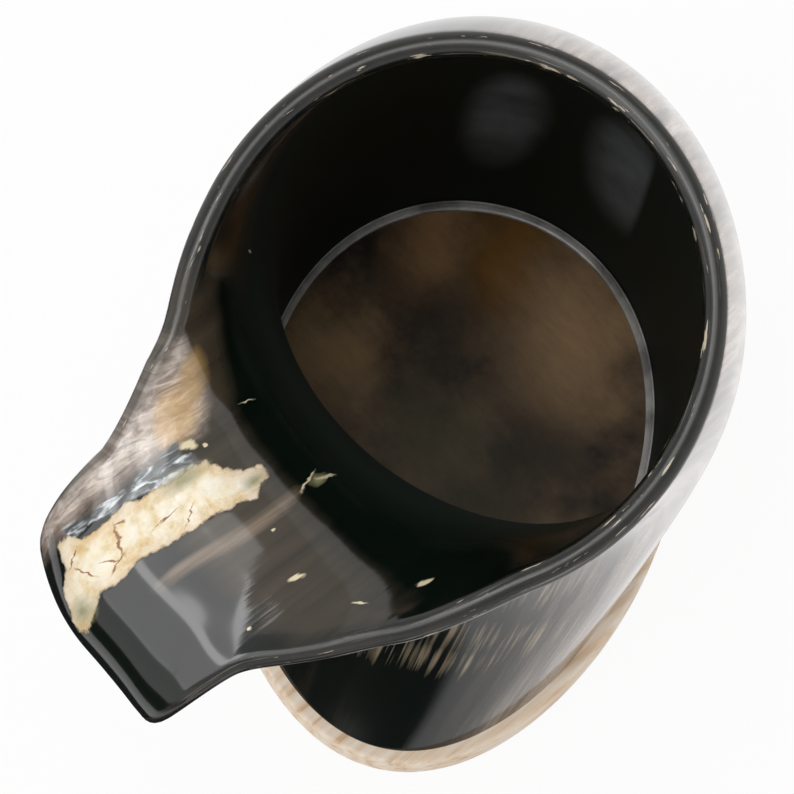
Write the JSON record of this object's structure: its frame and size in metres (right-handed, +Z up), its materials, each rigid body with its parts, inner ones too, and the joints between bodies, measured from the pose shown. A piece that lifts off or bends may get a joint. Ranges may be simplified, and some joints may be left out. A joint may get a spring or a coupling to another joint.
{
  "type": "horn mug",
  "caption": "Bowed horn mug whose wall runs on into a flat strap handle bent over and down, standing on an oval wooden foot with a sealed floor inside.",
  "frame": {"origin": "middle of the foot's underside, on the table", "axes": "+Z up, +X from the middle of the foot towards the handle, +Y to the left of that"},
  "size_m": [0.1369, 0.0966, 0.1493],
  "materials": {
    "polished_horn": "polished, dark with pale cream streaks",
    "pale_wood": "sanded, pale tan",
    "dark_wood": "stained brown and varnished",
    "clear_resin": "glossy bead of sealing resin"
  },
  "bodies": {
    "root": {"horn_body": "polished_horn", "wooden_foot": "pale_wood", "floor_plate": "dark_wood", "sealing_bead": "clear_resin"}
  },
  "joints": []
}
